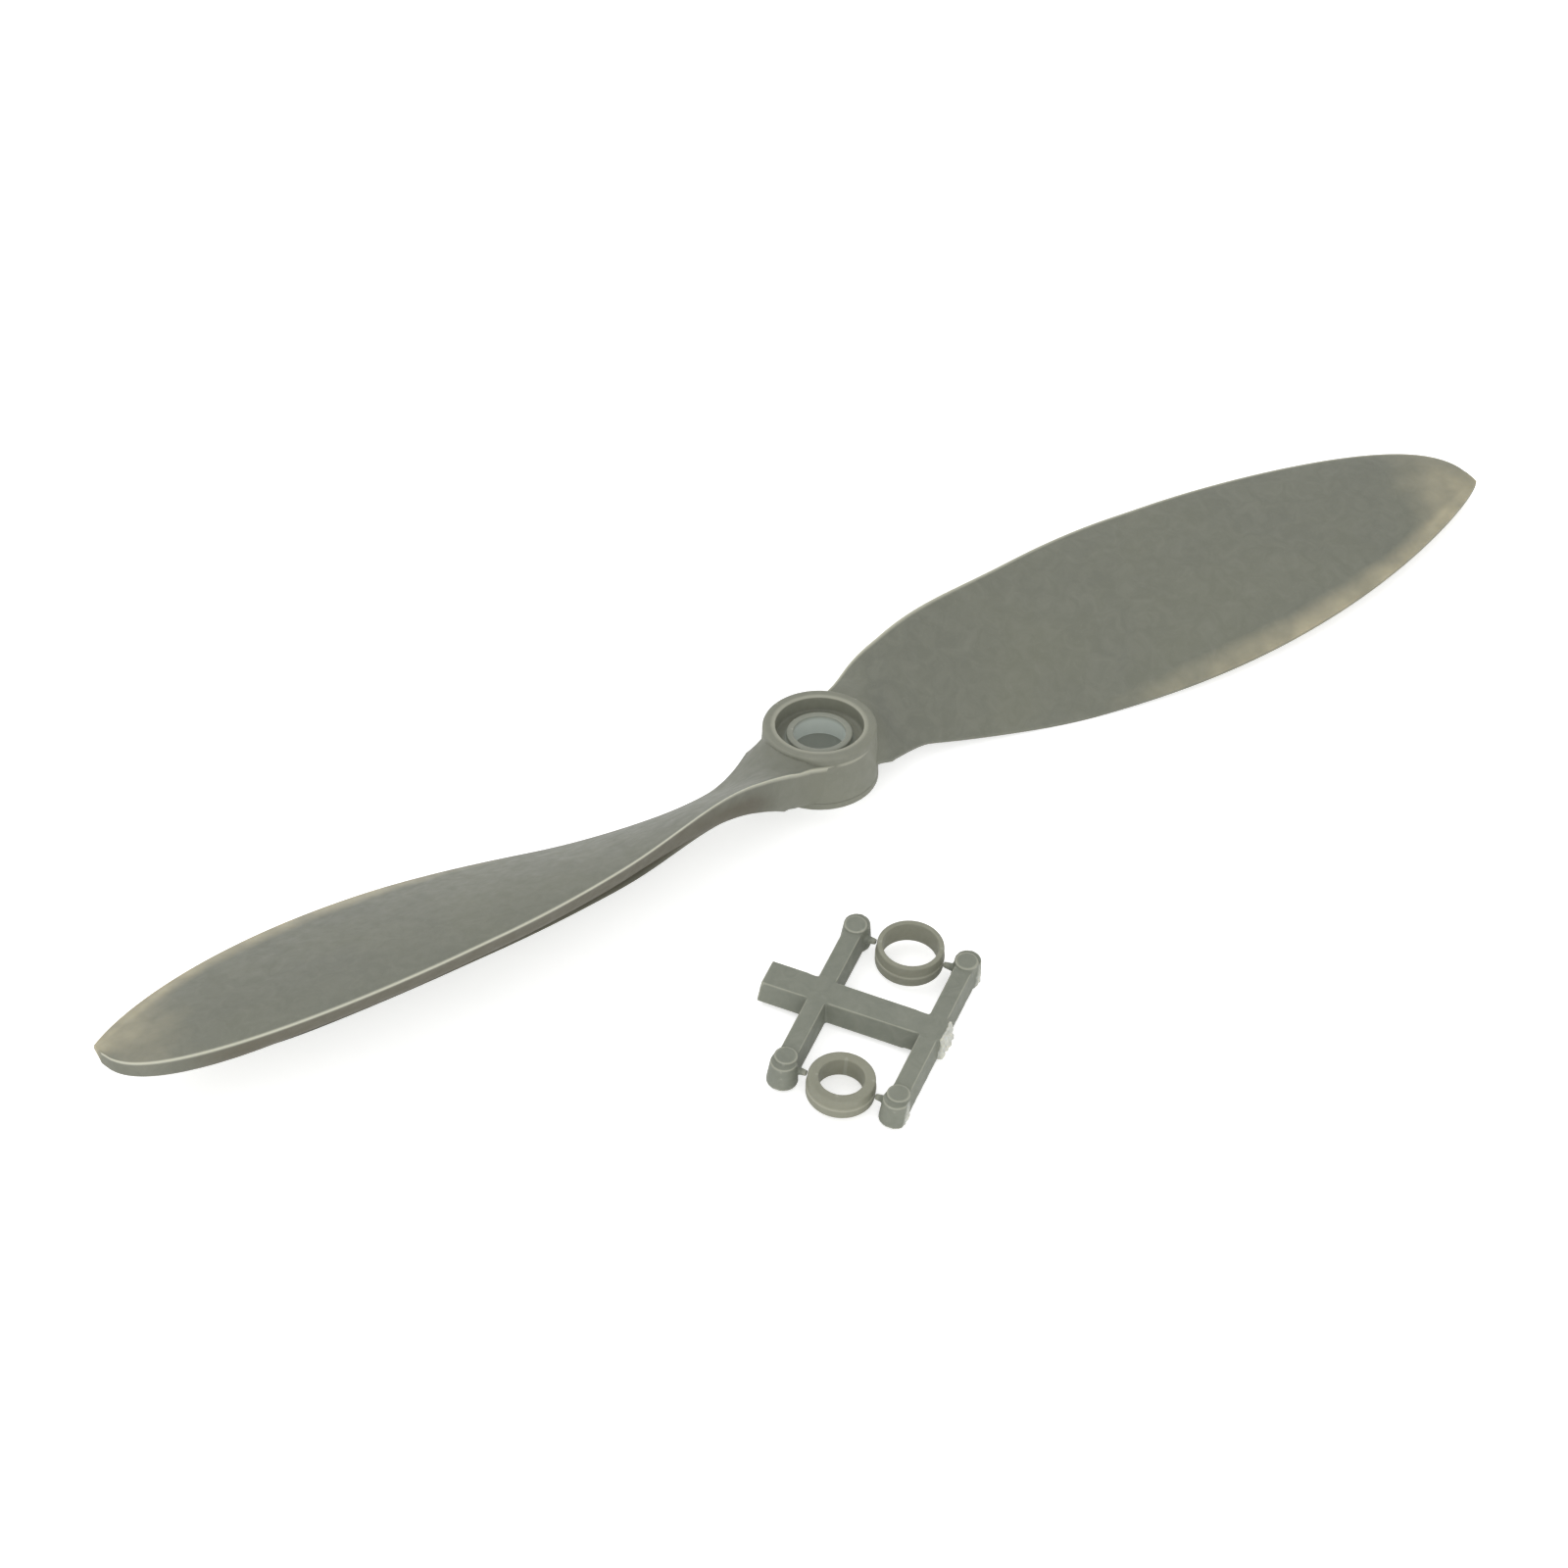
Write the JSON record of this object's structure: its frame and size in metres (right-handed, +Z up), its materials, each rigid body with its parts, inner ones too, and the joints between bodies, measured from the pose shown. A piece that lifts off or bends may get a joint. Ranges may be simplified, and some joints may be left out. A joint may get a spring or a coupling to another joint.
{
  "type": "model aircraft propeller",
  "caption": "Slow turning propeller moulded in one with its hub, lying beside a moulding tree that holds loose shaft rings for other motor shafts.",
  "frame": {"origin": "centre of the hub's rear face, at the mouth of the ring seat, with the propeller lying on a table on the low edges of its blades", "axes": "+Z up from the table, +X along the right blade toward its tip, +Y away from the camera side. The shaft axis leans 8.8 degrees from +Z, as the propeller lies."},
  "size_m": [0.203, 0.0667, 0.0147],
  "materials": {
    "propeller_nylon": "satin glass filled nylon, olive grey",
    "tree_nylon": "satin nylon, olive grey",
    "ring_nylon": "satin nylon, olive grey"
  },
  "bodies": {
    "propeller": {"hub": "propeller_nylon", "blade_right": "propeller_nylon", "blade_left": "propeller_nylon"},
    "tree": {"runner": "tree_nylon", "arm_a": "tree_nylon", "arm_b": "tree_nylon", "arm_c": "tree_nylon", "arm_d": "tree_nylon", "stub_a": "tree_nylon", "stub_b": "tree_nylon", "stub_c": "tree_nylon", "stub_d": "tree_nylon", "gate_a": "tree_nylon", "gate_b": "tree_nylon", "gate_c": "tree_nylon", "gate_d": "tree_nylon"},
    "thin_ring": {"ring_thin": "ring_nylon"},
    "thick_ring": {"ring_thick": "ring_nylon"}
  },
  "joints": [
    {"name": "tree_lift", "type": "slide", "parent": "propeller", "child": "tree", "axis": [0, 0, 1], "range_m": [0, 0.03]},
    {"name": "ring_thin_lift", "type": "slide", "parent": "tree", "child": "thin_ring", "axis": [0, 0, 1], "range_m": [0, 0.012]},
    {"name": "ring_thick_lift", "type": "slide", "parent": "tree", "child": "thick_ring", "axis": [0, 0, 1], "range_m": [0, 0.012]}
  ]
}
